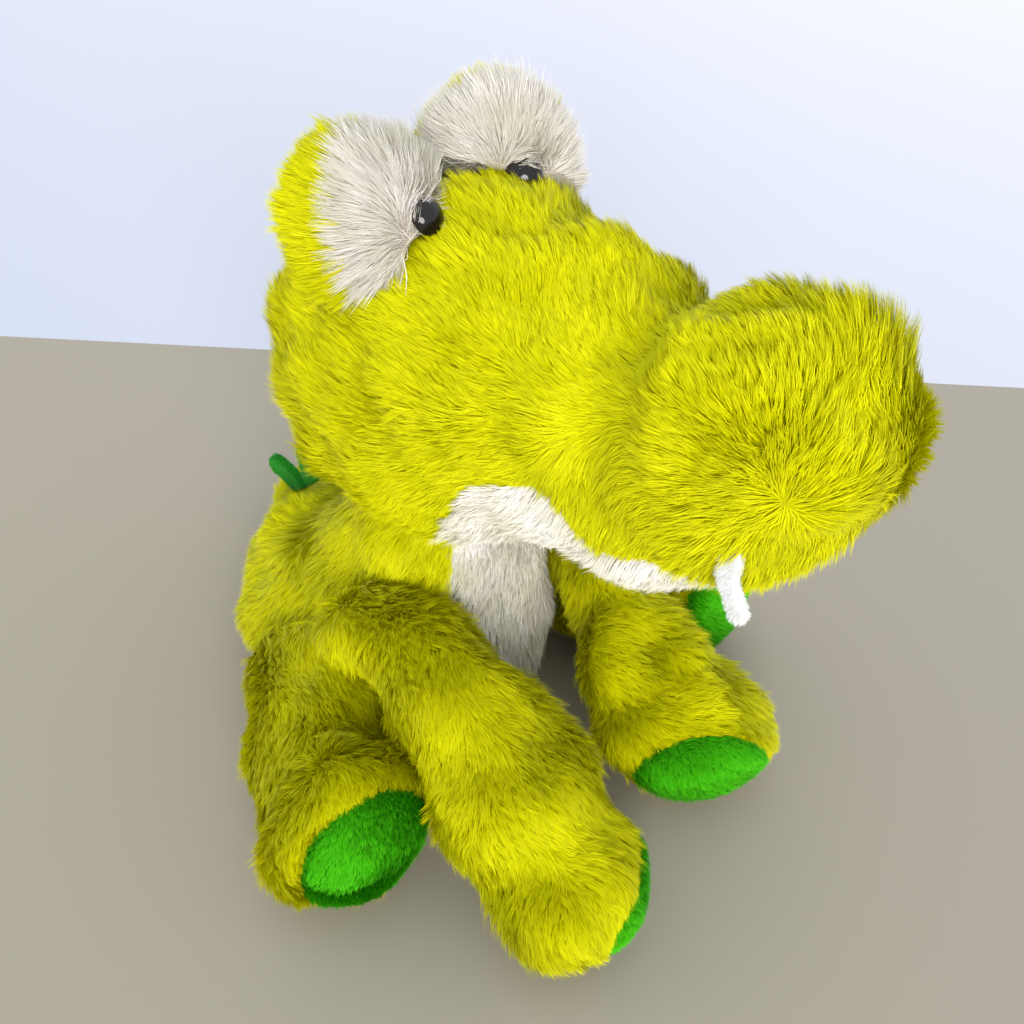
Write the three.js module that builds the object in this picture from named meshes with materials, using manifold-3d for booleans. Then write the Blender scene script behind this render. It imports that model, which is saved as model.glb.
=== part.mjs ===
// A stuffed crocodile that sits upright: a bean-bag body, a big head with a long snout, four floppy limbs
// and a short tail, sewn from plush over loose fibre and pellets. Millimetres, +Z up. It sits on z = 0 and
// faces -Y, so its right is -X. Every soft form swells and tapers along a spine, and the larger forms cut
// the smaller ones.
import * as THREE from "three";
import { mergeVertices } from "three/addons/utils/BufferGeometryUtils.js";
import Module from "manifold-3d";

const wasm = await Module();
wasm.setup();

// Sewing
const clearance = 0.3; // between pieces that lie against each other
const fillGap = 0.6; // between a cover and what fills it
const swingClearance = 1; // between forms that turn against each other
const plush = 2.6; // plush fabric with the firm roots of its pile
const bedding = 0.5; // how deep a soft form is pressed flat where it stands
const felt = 2.4; // green felt of the spikes
const toothFelt = 2; // white felt of the teeth

// Body: a pear that leans forward at the neck
const bodyHeight = 100;
const bodyHalfWidth = 40;
const bodyHalfDepth = 45;
const seatBehind = 12; // how far the seat's middle lies behind the origin
const seatBedding = 3; // how deep the seat is pressed flat under the pellets
const bodySeatRound = 18; // how far the form rounds off at its two ends
const bodyTopRound = 10;
const pouchHeight = 24; // bag of pellets in the seat
const bellyHalfWidth = 20.5; // cream panel at its widest
const bellyAside = 4; // how far the panel has rolled to the toy's left
const bellyTop = 120; // past the neck, so that the panel runs up into it
const bellyBottom = 6;
const neckDrop = 10; // how far the middle of the neck ball lies below the top of the body
const neckForward = 20;
const neckRadius = 14;

// Head: its own frame lies at the neck ball, snout along -Y, and is then lifted
const headLength = 144.5;
const headBack = 37; // how far the head reaches behind the neck ball
const headHalfWidth = 35;
const headTop = 57;
const headBottom = 26;
const headLift = 15; // degrees
const skullRound = 18.5;
const snoutRound = 18;
const jawBehindNose = 5.5; // the cream underside runs from this far behind the nose
const jawBack = 10; // to here, in front of the neck ball
const jawBackHeight = -24; // where its slanting back edge ends
const mouthHeight = -3.5; // where the yellow meets the cream at the snout
const mouthFold = 72; // the seam runs level to here, then rises round a fold
const mouthFoldTop = 57; // to here
const mouthFoldRise = 12;
const mouthCorner = 40; // the mouth's corner lies here
const mouthCornerRise = 7.5;
const jawCornerDrop = 6.5; // the panel's front corner is rounded off by this much down
const jawCornerBack = 13; // and this much back

// Eyes: a dome on each side of the head's middle
const domeHalfWidth = 17;
const domeHalfDepth = 20;
const domeHalfHeight = 22;
const domeSpread = 17;
const domeForward = 11;
const domeRise = 52;
const domeSplit = 2.5; // the cream front begins this far in front of the dome's middle
const domeSplitTurn = 30; // degrees it is turned in towards the other dome
const beadRadius = 3.1;
const beadHeight = 2.4;
const beadSeat = 1.2; // how deep the bead lies in the pile
const beadRise = 3.5; // how far the beads sit above the domes' middle
const rightBeadIn = 2; // how far each bead sits towards the head's middle: they were pressed in by hand
const leftBeadIn = 7.5;
const shankRadius = 1.1;
const shankLength = 5;
const washerRadius = 2.6;
const washerThickness = 1;
const washerSink = 1.2; // how far under the fabric the washer grips

// Teeth
const toothLength = 7;
const toothWidth = 3.6;
const toothRootWidth = 3;
const toothBehindNose = 9;
const toothRoot = 13; // how far the felt runs up behind the mouth seam
const toothRise = 3.5; // how far above the mouth seam's end it hangs
const toothOut = 22; // outside of the felt from the head's middle

// Arms: places out from the middle, in front of the origin and above the floor
const shoulderOut = 33;
const shoulderForward = 14;
const shoulderHeight = 49;
const shoulderRadius = 11.5;
const shoulderRound = 4.4;
const armRadius = 14.5;
const leftElbowRadius = 9.5;
const elbowOut = 27;
const elbowForward = 40;
const elbowHeight = 46;
const wristOut = 30;
const wristForward = 66;
const wristHeight = 35;
const wristRadius = 19;
const leftWristRadius = 14;
const pawOut = 29.5;
const pawForward = 89;
const pawLength = 46;
const pawWidth = 36;
const pawHeight = 39;
const rightPawTilt = 66; // degrees the paw's sole faces forwards and inwards from straight down
const leftPawTilt = 82;
const rightToeOut = 46; // degrees the toes point out
const leftToeOut = 54;
const leftPawIn = 5.8; // how far the left paw lies further in than the right one
const leftPawBack = 10.5; // and how far it is drawn back
const soleDepth = 6; // depth of the sewn-in soles of paws and feet

// Legs
const hipOut = 26;
const hipForward = 0;
const hipHeight = 26;
const legRadius = 20;
const kneeOut = 45;
const kneeForward = 20;
const ankleOut = 56;
const ankleForward = 40;
const ankleRadius = 19;
const hipRound = 6;
const ankleRound = 9.5;
const footOut = 58;
const footForward = 48;
const footLength = 42;
const footWidth = 43;
const footDepth = 30;
const footTurn = 8; // degrees the foot soles face outwards
const footDroop = 28; // degrees the toes hang down from level

// Tail: it curls round to the left
const tailRoot = 42; // behind the origin
const tailRadius = 14;
const tailRound = 4.2;
const tailReach = 68;
const tailCurl = 58;

// Spikes
const spikeHeight = 11;
const spikeWidth = 8;
const spikeNeck = 6.8; // width where it leaves the plush
const spikeRoot = 7; // how far its outline runs on below, before the form cuts it
const bodySpikes = 5;
const tailSpikes = 5;
const ridgePoints = 13;
const firstBodySpikeShare = 0.62; // along the ridge from the seat
const lastBodySpikeShare = 0.29;
const firstTailSpikeShare = 0.31;
const lastTailSpikeShare = 0.86;
const smallestSpikeShare = 0.62;

// Swings, in degrees, that the cuts between the bodies leave room for
const headTurn = 16;
const nodUp = 10;
const nodDown = 5;
const armLift = 20;
const legOut = 18;
const tailSwing = 18;

const materials = {
  yellow: new THREE.MeshStandardMaterial({ color: 0xc3cf12, roughness: 0.85, metalness: 0 }),
  cream: new THREE.MeshStandardMaterial({ color: 0xe9e2cf, roughness: 0.9, metalness: 0 }),
  sole: new THREE.MeshStandardMaterial({ color: 0x34b31c, roughness: 0.9, metalness: 0 }),
  felt: new THREE.MeshStandardMaterial({ color: 0x128a1b, roughness: 0.95, metalness: 0 }),
  white: new THREE.MeshStandardMaterial({ color: 0xf2f2ee, roughness: 0.95, metalness: 0 }),
  bead: new THREE.MeshStandardMaterial({ color: 0x0a0a0a, roughness: 0.12, metalness: 0 }),
  plastic: new THREE.MeshStandardMaterial({ color: 0xdadada, roughness: 0.5, metalness: 0 }),
  fibre: new THREE.MeshStandardMaterial({ color: 0xf4f4f0, roughness: 1, metalness: 0 }),
  pellets: new THREE.MeshStandardMaterial({ color: 0xcfc9bb, roughness: 0.7, metalness: 0 }),
};

const group = new THREE.Group();
const v = (x, y, z) => new THREE.Vector3(x, y, z);
const X = v(1, 0, 0);
const Y = v(0, 1, 0);
const Z = v(0, 0, 1);
const rad = THREE.MathUtils.degToRad;

// Solids and meshes
function solidOf(geometry) {
  const bare = geometry.clone();
  bare.deleteAttribute("normal");
  bare.deleteAttribute("uv");
  const merged = mergeVertices(bare);
  const vertProperties = merged.attributes.position.array;
  const triVerts = new Uint32Array(merged.index.array);
  return new wasm.Manifold(new wasm.Mesh({ numProp: 3, vertProperties, triVerts }));
}

function geometryOf(solid) {
  const mesh = solid.getMesh();
  const geometry = new THREE.BufferGeometry();
  geometry.setAttribute("position", new THREE.BufferAttribute(mesh.vertProperties, 3));
  geometry.setIndex(new THREE.BufferAttribute(mesh.triVerts, 1));
  return geometry;
}

const moved = (solid, matrix) => solidOf(geometryOf(solid).applyMatrix4(matrix));
const joined = (solids) => solids.reduce((a, b) => a.add(b));
const cutBy = (solid, ...cutters) => cutters.reduce((a, b) => a.subtract(b), solid);

function addMesh(name, solid, material) {
  const mesh = new THREE.Mesh(geometryOf(solid), material);
  mesh.geometry.computeVertexNormals();
  mesh.name = name;
  group.add(mesh);
}

// A turn about an axis through a point
function turnAbout(point, axis, degrees) {
  const back = new THREE.Matrix4().makeTranslation(-point.x, -point.y, -point.z);
  const turn = new THREE.Matrix4().makeRotationAxis(axis, rad(degrees));
  const out = new THREE.Matrix4().makeTranslation(point.x, point.y, point.z);
  return out.multiply(turn).multiply(back);
}

// The space that a form takes up as it turns through a list of angles
const swept = (solid, point, axis, angles) =>
  joined(angles.map((degrees) => moved(solid, turnAbout(point, axis, degrees))));

// The spine of a soft form with its girths, and the frame that a ring of it lies in: square to the spine,
// or level where the form says so
function curvesOf({ stations, level }) {
  const spine = new THREE.CatmullRomCurve3(stations.map((s) => s.at));
  const girths = new THREE.SplineCurve(stations.map((s) => new THREE.Vector2(s.wide, s.deep)));
  return { spine, girths, level, length: spine.getLength() };
}

function ringFrame({ spine, girths, level }, side, along) {
  const centre = spine.getPointAt(along);
  const tangent = level ? Z.clone() : spine.getTangentAt(along);
  const across = tangent.clone().cross(side).normalize();
  const beside = across.clone().cross(tangent).normalize();
  return { centre, tangent, across, beside, girth: girths.getPoint(spine.getUtoTmapping(along)) };
}

// A closed soft form: ellipses across a curved spine, rounded off over `rounds` at its two ends. A positive
// inset makes it smaller all round, and a negative one larger.
function softForm(spec, inset = 0) {
  const { side, rounds, sides, rings } = spec;
  const curves = curvesOf(spec);
  const { length } = curves;
  const capRings = Math.ceil(rings / 4);
  const bodyRings = rings - 2 * capRings;
  const first = inset;
  const last = length - inset;
  const startCap = rounds[0] - inset;
  const endCap = rounds[1] - inset;
  const steps = [];
  for (let i = 1; i <= capRings; i++) {
    steps.push(first + startCap * (1 - Math.cos((i / capRings) * (Math.PI / 2))));
  }
  for (let i = 1; i < bodyRings; i++) {
    steps.push(THREE.MathUtils.lerp(first + startCap, last - endCap, i / bodyRings));
  }
  for (let i = capRings; i >= 1; i--) {
    steps.push(last - endCap * (1 - Math.cos((i / capRings) * (Math.PI / 2))));
  }
  const roundness = (gap, cap) => Math.sqrt(1 - (1 - Math.min(gap / cap, 1)) ** 2);
  const placeAt = (step) => {
    const along = THREE.MathUtils.clamp(step / length, 0, 1);
    const frame = ringFrame(curves, side, along);
    frame.centre.addScaledVector(frame.tangent, step - along * length);
    return frame;
  };
  const points = [placeAt(first).centre];
  for (const step of steps) {
    const { centre, across, beside, girth } = placeAt(step);
    const cap = roundness(step - first, startCap) * roundness(last - step, endCap);
    for (let j = 0; j < sides; j++) {
      const turn = (2 * Math.PI * j) / sides;
      const point = centre.clone();
      point.addScaledVector(beside, (girth.x - inset) * cap * Math.cos(turn));
      point.addScaledVector(across, (girth.y - inset) * cap * Math.sin(turn));
      points.push(point);
    }
  }
  points.push(placeAt(last).centre);
  const faces = [];
  const at = (ring, j) => 1 + ring * sides + (j % sides);
  for (let j = 0; j < sides; j++) {
    faces.push(0, at(0, j + 1), at(0, j));
    for (let ring = 0; ring < steps.length - 1; ring++) {
      faces.push(at(ring, j), at(ring, j + 1), at(ring + 1, j + 1));
      faces.push(at(ring, j), at(ring + 1, j + 1), at(ring + 1, j));
    }
    faces.push(points.length - 1, at(steps.length - 1, j), at(steps.length - 1, j + 1));
  }
  const geometry = new THREE.BufferGeometry().setFromPoints(points);
  geometry.setIndex(faces);
  return solidOf(geometry);
}

// An egg with its own three half-lengths, along, beside and up
function egg({ centre, along, up, halves, sides, rings }, inset = 0) {
  const beside = up.clone().cross(along).normalize();
  const geometry = new THREE.SphereGeometry(1, sides, rings);
  geometry.rotateX(Math.PI / 2);
  geometry.scale(halves.x - inset, halves.y - inset, halves.z - inset);
  const frame = new THREE.Matrix4().makeBasis(along, beside, up).setPosition(centre);
  return solidOf(geometry.applyMatrix4(frame));
}

// Where a ray from an egg's middle leaves it, and the way its skin faces there
function surfaceAlong({ centre, along, up, halves }, direction) {
  const beside = up.clone().cross(along).normalize();
  const local = v(direction.dot(along), direction.dot(beside), direction.dot(up));
  const point = centre.clone().addScaledVector(direction, 1 / local.clone().divide(halves).length());
  const look = along.clone().multiplyScalar(local.x / halves.x ** 2);
  look.addScaledVector(beside, local.y / halves.y ** 2).addScaledVector(up, local.z / halves.z ** 2);
  return { point, look: look.normalize() };
}

// How far an egg reaches above its middle
function halfHeight({ along, up, halves }) {
  const beside = up.clone().cross(along).normalize();
  return v(halves.x * along.z, halves.y * beside.z, halves.z * up.z).length();
}

const reach = bodyHeight + headLength; // runs past the whole toy

// Everything past a plane
function beyond(point, normal) {
  const geometry = new THREE.BoxGeometry(reach, reach, reach);
  const turn = new THREE.Quaternion().setFromUnitVectors(Z, normal);
  const frame = new THREE.Matrix4().makeRotationFromQuaternion(turn);
  frame.setPosition(point.clone().addScaledVector(normal, reach / 2));
  return solidOf(geometry.applyMatrix4(frame));
}

// A flat outline made into a plate, centred on its own plane, then placed
function plate(shape, thickness, frame, curveSegments) {
  const geometry = new THREE.ExtrudeGeometry(shape, { depth: thickness, bevelEnabled: false, curveSegments });
  geometry.translate(0, 0, -thickness / 2);
  return solidOf(geometry.applyMatrix4(frame));
}

// A turned piece: its profile of [radius, height] stands on a point and rises along a direction
function turnedPiece(profile, point, direction, segments) {
  const geometry = new THREE.LatheGeometry(profile.map(([r, h]) => new THREE.Vector2(r, h)), segments);
  const frame = new THREE.Matrix4().makeRotationFromQuaternion(
    new THREE.Quaternion().setFromUnitVectors(Y, direction),
  );
  return solidOf(geometry.applyMatrix4(frame.setPosition(point)));
}

const rod = (radius, from, to, point, direction, segments) =>
  turnedPiece([[0, from], [radius, from], [radius, to], [0, to]], point, direction, segments);

const underFloor = beyond(v(0, 0, 0), v(0, 0, -1));

// Body form
const bodyShares = [
  // height, forward, half width, half depth
  [0.0, 0.0, 0.8, 0.86],
  [0.15, 0.11, 1.0, 1.04],
  [0.34, 0.17, 0.96, 1.0],
  [0.56, 0.5, 0.7, 0.58],
  [0.78, 0.65, 0.54, 0.42],
  [1.0, 0.71, 0.48, 0.42],
];
const bodySpec = {
  stations: bodyShares.map(([up, forward, wide, deep]) => ({
    at: v(0, seatBehind - forward * bodyHalfDepth, up * (bodyHeight + seatBedding) - seatBedding),
    wide: wide * bodyHalfWidth,
    deep: deep * bodyHalfDepth,
  })),
  side: X,
  level: true,
  rounds: [bodySeatRound, bodyTopRound],
  sides: 18,
  rings: 14,
};
const bodyInside = { ...bodySpec, sides: 14, rings: 12 };
const bodyLean = Math.atan2(bodyShares.at(-1)[1] * bodyHalfDepth, bodyHeight);
const neck = v(0, -neckForward, bodyHeight - neckDrop);
const bodyOuter = softForm(bodySpec);
const bodyRoom = softForm(bodySpec, -clearance);
const bodySwing = softForm(bodySpec, -swingClearance);
const ballHalves = v(neckRadius, neckRadius, neckRadius);
const ball = { centre: neck, along: X, up: Z, halves: ballHalves, sides: 14, rings: 8 };
const neckCup = egg(ball, -swingClearance);

// Head form
const headShares = [
  // along from the back, top, bottom, half width
  [0.0, 0.42, 0.42, 0.6],
  [0.09, 0.74, 0.92, 0.84],
  [0.22, 0.95, 1.0, 1.0],
  [0.37, 1.0, 0.88, 1.0],
  [0.49, 0.98, 0.7, 0.93],
  [0.61, 0.8, 0.7, 0.8],
  [0.73, 0.67, 0.76, 0.73],
  [0.86, 0.68, 0.4, 0.74],
  [1.0, 1.12, -0.4, 0.68],
];
const headSpec = {
  stations: headShares.map(([along, top, bottom, wide]) => ({
    at: v(0, headBack - along * headLength, (top * headTop - bottom * headBottom) / 2),
    wide: wide * headHalfWidth,
    deep: (top * headTop + bottom * headBottom) / 2,
  })),
  side: X,
  rounds: [skullRound, snoutRound],
  sides: 20,
  rings: 16,
};
const headInside = { ...headSpec, sides: 14, rings: 12 };
const headFrame = new THREE.Matrix4().makeRotationX(-rad(headLift)).setPosition(neck);
const headOuter = moved(softForm(headSpec), headFrame);
const headRoom = moved(softForm(headSpec, -clearance), headFrame);
const headSwing = moved(softForm(headSpec, -swingClearance), headFrame);
const turns = [-headTurn, 0, headTurn];
const nods = [-nodDown, nodUp];

// The body as the head meets it, and the head as the arms meet it, through every turn and nod
const bodyAgainstHead = swept(swept(bodySwing, neck, Z, turns), neck, X, nods);
const nodded = (solid) => swept(swept(solid, neck, X, nods.map((nod) => -nod)), neck, Z, turns);
const headSweep = nodded(headSwing);
const headSweepOverPlush = nodded(moved(softForm(headInside, -swingClearance - plush - fillGap), headFrame));

// Body pieces
const bodyHollow = softForm(bodyInside, plush);
const bodyFill = cutBy(softForm(bodyInside, plush + fillGap), underFloor, neckCup);
const bodyShell = cutBy(bodyOuter, bodyHollow, underFloor, neckCup);

const bellyCurves = [
  // out and up for the two handles and the end of each curve, from the foot of the panel round to its top
  [0.8, 0, 1, 0.1, 1, 0.28],
  [1, 0.5, 0.6, 0.6, 0.6, 1],
];

function bellyWindow(trim) {
  const shape = new THREE.Shape();
  const out = (share) => share * (bellyHalfWidth - trim);
  const up = (share) => THREE.MathUtils.lerp(bellyBottom + trim, bellyTop, share);
  const [low, high] = bellyCurves;
  shape.moveTo(0, up(0));
  shape.bezierCurveTo(out(low[0]), up(low[1]), out(low[2]), up(low[3]), out(low[4]), up(low[5]));
  shape.bezierCurveTo(out(high[0]), up(high[1]), out(high[2]), up(high[3]), out(high[4]), up(high[5]));
  shape.lineTo(-out(high[4]), up(high[5]));
  shape.bezierCurveTo(-out(high[2]), up(high[3]), -out(high[0]), up(high[1]), -out(low[4]), up(low[5]));
  shape.bezierCurveTo(-out(low[2]), up(low[3]), -out(low[0]), up(low[1]), 0, up(0));
  const ahead = v(0, -Math.cos(bodyLean), -Math.sin(bodyLean));
  const frame = new THREE.Matrix4().makeRotationX(Math.PI / 2 + bodyLean);
  frame.setPosition(v(bellyAside, seatBehind, 0).addScaledVector(ahead, reach / 2));
  return plate(shape, reach, frame, 5);
}
addMesh("body_cover", cutBy(bodyShell, bellyWindow(0)), materials.yellow);
addMesh("belly_panel", bodyShell.intersect(bellyWindow(clearance)), materials.cream);
addMesh("body_stuffing", cutBy(bodyFill, beyond(v(0, 0, pouchHeight), v(0, 0, -1))), materials.fibre);
addMesh("seat_pellet_pouch", cutBy(bodyFill, beyond(v(0, 0, pouchHeight - clearance), Z)), materials.pellets);
addMesh("neck_stuffing", egg(ball), materials.fibre);

// Head pieces
const headHollow = moved(softForm(headInside, plush), headFrame);
const headFill = moved(softForm(headInside, plush + fillGap), headFrame);
const headShell = cutBy(headOuter, headHollow, bodyAgainstHead, neckCup);

function jawWindow(trim) {
  const front = headBack - headLength + jawBehindNose + trim;
  const back = -jawBack - trim;
  const seam = mouthHeight - trim;
  const foldTop = -mouthFoldTop;
  const corner = -mouthCorner - trim;
  const shape = new THREE.Shape();
  shape.moveTo(front, -reach);
  shape.lineTo(front, seam - jawCornerDrop);
  shape.quadraticCurveTo(front, seam, front + jawCornerBack, seam);
  const rise = (foldTop + mouthFold) / 2;
  const high = seam + mouthFoldRise;
  shape.lineTo(-mouthFold, seam);
  shape.bezierCurveTo(rise - mouthFold, seam, foldTop - rise, high, foldTop, high);
  shape.lineTo(corner, seam + mouthCornerRise);
  shape.lineTo(back, jawBackHeight - trim);
  shape.lineTo(back, -reach);
  shape.closePath();
  const frame = new THREE.Matrix4().makeBasis(Y, Z, X);
  return plate(shape, reach, headFrame.clone().multiply(frame), 4);
}
addMesh("jaw_panel", headShell.intersect(jawWindow(clearance)), materials.cream);

// Eyes and teeth
const headPoint = (x, y, z) => v(x, y, z).applyMatrix4(headFrame);
const headUp = Z.clone().transformDirection(headFrame);
const headOut = Y.clone().negate().transformDirection(headFrame);
const eyeRooms = [];

for (const [name, way] of [["right", -1], ["left", 1]]) {
  const centre = headPoint(way * domeSpread, -domeForward, domeRise);
  const domeSpec = {
    centre,
    along: X,
    up: headUp,
    halves: v(domeHalfWidth, domeHalfDepth, domeHalfHeight),
    sides: 16,
    rings: 10,
  };
  const domeInside = { ...domeSpec, sides: 12, rings: 8 };
  const otherSide = beyond(v(way * clearance / 2, 0, 0), v(-way, 0, 0));
  const dome = cutBy(egg(domeSpec), headRoom, otherSide);
  const domeShell = cutBy(dome, egg(domeInside, plush));
  const splitOut = headOut.clone().applyAxisAngle(headUp, -way * rad(domeSplitTurn));
  const splitPoint = centre.clone().addScaledVector(headOut, domeSplit);
  const frontHalf = beyond(splitPoint, splitOut);
  const backHalf = beyond(splitPoint.addScaledVector(splitOut, -clearance), splitOut.clone().negate());

  const aim = v(-way * (way < 0 ? rightBeadIn : leftBeadIn), -domeHalfDepth, beadRise);
  const { point, look } = surfaceAlong(domeSpec, aim.normalize().transformDirection(headFrame));
  const seat = point.clone().addScaledVector(look, -beadSeat);
  const pocket = rod(beadRadius + clearance, 0, reach, seat, look, 14);
  const shankHole = rod(shankRadius + clearance, -reach / 2, clearance, seat, look, 10);
  const shankRoom = rod(shankRadius + clearance, -shankLength - clearance, clearance, seat, look, 10);
  const washerTop = beadSeat - plush - washerSink;
  const washerFoot = washerTop - washerThickness;
  const washerRoom = rod(washerRadius + clearance, washerFoot - clearance, beadHeight, seat, look, 14);
  eyeRooms.push(pocket, washerRoom, shankRoom);
  addMesh("eye_white_" + name, cutBy(domeShell.intersect(frontHalf), pocket, shankHole), materials.cream);
  addMesh("eye_back_" + name, domeShell.intersect(backHalf), materials.yellow);
  addMesh(
    "eye_stuffing_" + name,
    cutBy(dome.intersect(egg(domeInside, plush + fillGap)), washerRoom, shankRoom),
    materials.fibre,
  );
  const bead = [[0, -shankLength], [shankRadius, -shankLength], [shankRadius, clearance]];
  const beadSteps = 6;
  for (let i = 0; i <= beadSteps; i++) {
    const turn = (Math.PI / 2) * (i / beadSteps);
    bead.push([beadRadius * Math.cos(turn), clearance + beadHeight * Math.sin(turn)]);
  }
  bead[bead.length - 1][0] = 0;
  addMesh("eye_bead_" + name, turnedPiece(bead, seat, look, 14), materials.bead);
  const washerBore = shankRadius + clearance;
  const inside = [[washerBore, washerTop], [washerBore, washerFoot]];
  const outside = [[washerRadius, washerFoot], [washerRadius, washerTop]];
  const washer = [...inside, ...outside, inside[0]];
  addMesh("eye_washer_" + name, turnedPiece(washer, seat, look, 14), materials.plastic);

  const finger = new THREE.Shape();
  const half = toothWidth / 2;
  finger.moveTo(-toothRootWidth / 2, toothRoot);
  finger.lineTo(-half, half - toothLength);
  finger.absarc(0, half - toothLength, half, Math.PI, 2 * Math.PI, false);
  finger.lineTo(toothRootWidth / 2, toothRoot);
  finger.closePath();
  const hangBack = headBack - headLength + toothBehindNose;
  const hang = headPoint(way * (toothOut - toothFelt / 2), hangBack, mouthHeight + toothRise);
  const toothFrame = new THREE.Matrix4().makeBasis(Y, Z, X).setPosition(hang);
  addMesh("tooth_" + name, cutBy(plate(finger, toothFelt, toothFrame, 5), headRoom), materials.white);
}
addMesh("head_cover", cutBy(headShell, jawWindow(0), ...eyeRooms), materials.yellow);
addMesh("head_stuffing", cutBy(headFill, bodyAgainstHead, neckCup, ...eyeRooms), materials.fibre);

// A stuffed limb: a tube that ends in an egg-shaped paw or foot, closed by a sewn-in sole
function addLimb({ name, part, pad, tube, paw, down, root, dents, overDents }) {
  const form = (inset, inside) => {
    const tubeSpec = inside ? { ...tube, sides: 10, rings: 8 } : tube;
    const pawSpec = inside ? { ...paw, sides: 10, rings: 6 } : paw;
    return softForm(tubeSpec, inset).add(egg(pawSpec, inset));
  };
  const solePoint = paw.centre.clone().addScaledVector(down, paw.halves.z - soleDepth);
  const soleCut = beyond(solePoint, down);
  const rimCut = beyond(solePoint.clone().addScaledVector(down, -clearance), down);
  const outer = cutBy(form(0), underFloor, ...root, ...dents);
  const hollow = cutBy(form(plush, true), ...overDents);
  const filling = cutBy(form(plush + fillGap, true), underFloor, rimCut, ...root, ...overDents);
  addMesh(part + "_cover_" + name, cutBy(outer, hollow, rimCut), materials.yellow);
  addMesh(part + "_stuffing_" + name, filling, materials.fibre);
  addMesh(pad + "_sole_" + name, outer.intersect(soleCut), materials.sole);
}

const evenly = (from, to, count) =>
  Array.from({ length: count }, (_, i) => THREE.MathUtils.lerp(from, to, i / (count - 1)));

for (const [name, way] of [["right", -1], ["left", 1]]) {
  const hip = v(way * hipOut, -hipForward, hipHeight);
  const legAxis = v(0, 0, way);
  const sole = v(way * Math.sin(rad(footTurn)), -Math.cos(rad(footTurn)), 0);
  const level = v(way * Math.cos(rad(footTurn)), Math.sin(rad(footTurn)), 0);
  const toe = level.applyAxisAngle(sole, way * rad(footDroop));
  const low = (radius) => radius - bedding;
  const footAxes = { along: toe, up: sole, halves: v(footLength / 2, footWidth / 2, footDepth / 2) };
  const footRise = halfHeight(footAxes) - bedding;
  const leg = {
    stations: [
      { at: hip, wide: legRadius, deep: legRadius },
      { at: v(way * kneeOut, -kneeForward, low(legRadius)), wide: legRadius, deep: legRadius },
      { at: v(way * ankleOut, -ankleForward, low(ankleRadius)), wide: ankleRadius, deep: ankleRadius },
      { at: v(way * footOut, -footForward, footRise), wide: ankleRadius, deep: ankleRadius },
    ],
    side: X,
    rounds: [hipRound, ankleRound],
    sides: 14,
    rings: 9,
  };
  const foot = {
    ...footAxes,
    centre: v(way * footOut, -footForward, footRise),
    sides: 16,
    rings: 9,
  };
  const bodyAgainstLeg = swept(bodySwing, hip, legAxis, [0, -legOut]);
  addLimb({
    name, part: "leg", pad: "foot", tube: leg, paw: foot, down: sole,
    root: [bodyAgainstLeg], dents: [], overDents: [],
  });

  const shoulder = v(way * shoulderOut, -shoulderForward, shoulderHeight);
  const armPoint = (out, forward, height) => v(way * out, -forward, height);
  const toeOut = rad(way > 0 ? leftToeOut : rightToeOut);
  const pawTilt = way > 0 ? leftPawTilt : rightPawTilt;
  const toeWay = v(way * Math.sin(toeOut), -Math.cos(toeOut), 0);
  const pawDown = v(0, 0, -1).applyAxisAngle(toeWay, -way * rad(pawTilt));
  const pawAxes = { along: toeWay, up: pawDown, halves: v(pawLength / 2, pawWidth / 2, pawHeight / 2) };
  const elbowRadius = way > 0 ? leftElbowRadius : armRadius;
  const drawn = way > 0 ? leftPawBack : 0;
  const drawnIn = way > 0 ? leftPawIn : 0;
  const narrow = way > 0 ? leftWristRadius : wristRadius;
  const pawCentre = armPoint(pawOut - drawnIn, pawForward - drawn, halfHeight(pawAxes) - bedding);
  const wrist = armPoint(wristOut - drawnIn, wristForward - drawn, wristHeight);
  const arm = {
    stations: [
      { at: shoulder, wide: shoulderRadius, deep: shoulderRadius },
      { at: armPoint(elbowOut, elbowForward, elbowHeight), wide: elbowRadius, deep: elbowRadius },
      { at: wrist, wide: narrow, deep: narrow },
      { at: pawCentre, wide: wristRadius, deep: wristRadius },
    ],
    side: X,
    rounds: [shoulderRound, wristRadius],
    sides: 14,
    rings: 9,
  };
  const paw = { ...pawAxes, centre: pawCentre, sides: 16, rings: 9 };
  const lifts = [0, armLift];
  const bodyAgainstArm = swept(bodySwing, shoulder, X, lifts);
  const legRoom = softForm(leg, -swingClearance).add(egg(foot, -swingClearance));
  addLimb({
    name, part: "arm", pad: "paw", tube: arm, paw, down: pawDown,
    root: [bodyAgainstArm, legRoom],
    dents: [swept(headSweep, shoulder, X, lifts)],
    overDents: [swept(headSweepOverPlush, shoulder, X, lifts)],
  });
}

// Tail
const tailShares = [
  // curl, back, radius
  [0.0, -0.2, 1.0],
  [0.1, 0.45, 1.0],
  [0.38, 0.92, 0.84],
  [0.73, 0.95, 0.6],
  [1.0, 0.65, 0.4],
];
const tailSpec = {
  stations: tailShares.map(([curl, back, radius]) => ({
    at: v(curl * tailCurl, tailRoot + back * (tailReach - tailRoot), radius * tailRadius - bedding),
    wide: radius * tailRadius,
    deep: radius * tailRadius,
  })),
  side: Z,
  rounds: [tailRound, tailRound],
  sides: 14,
  rings: 11,
};
const tailInside = { ...tailSpec, sides: 10, rings: 8 };
const tailPivot = v(0, tailRoot, tailRadius);
const bodyAgainstTail = swept(bodySwing, tailPivot, Z, [-tailSwing, 0, tailSwing]);
const tailOuter = cutBy(softForm(tailSpec), underFloor, bodyAgainstTail);
const tailRoom = softForm(tailSpec, -clearance);
addMesh("tail_cover", cutBy(tailOuter, softForm(tailInside, plush)), materials.yellow);
addMesh(
  "tail_stuffing",
  cutBy(softForm(tailInside, plush + fillGap), underFloor, bodyAgainstTail),
  materials.fibre,
);

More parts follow.
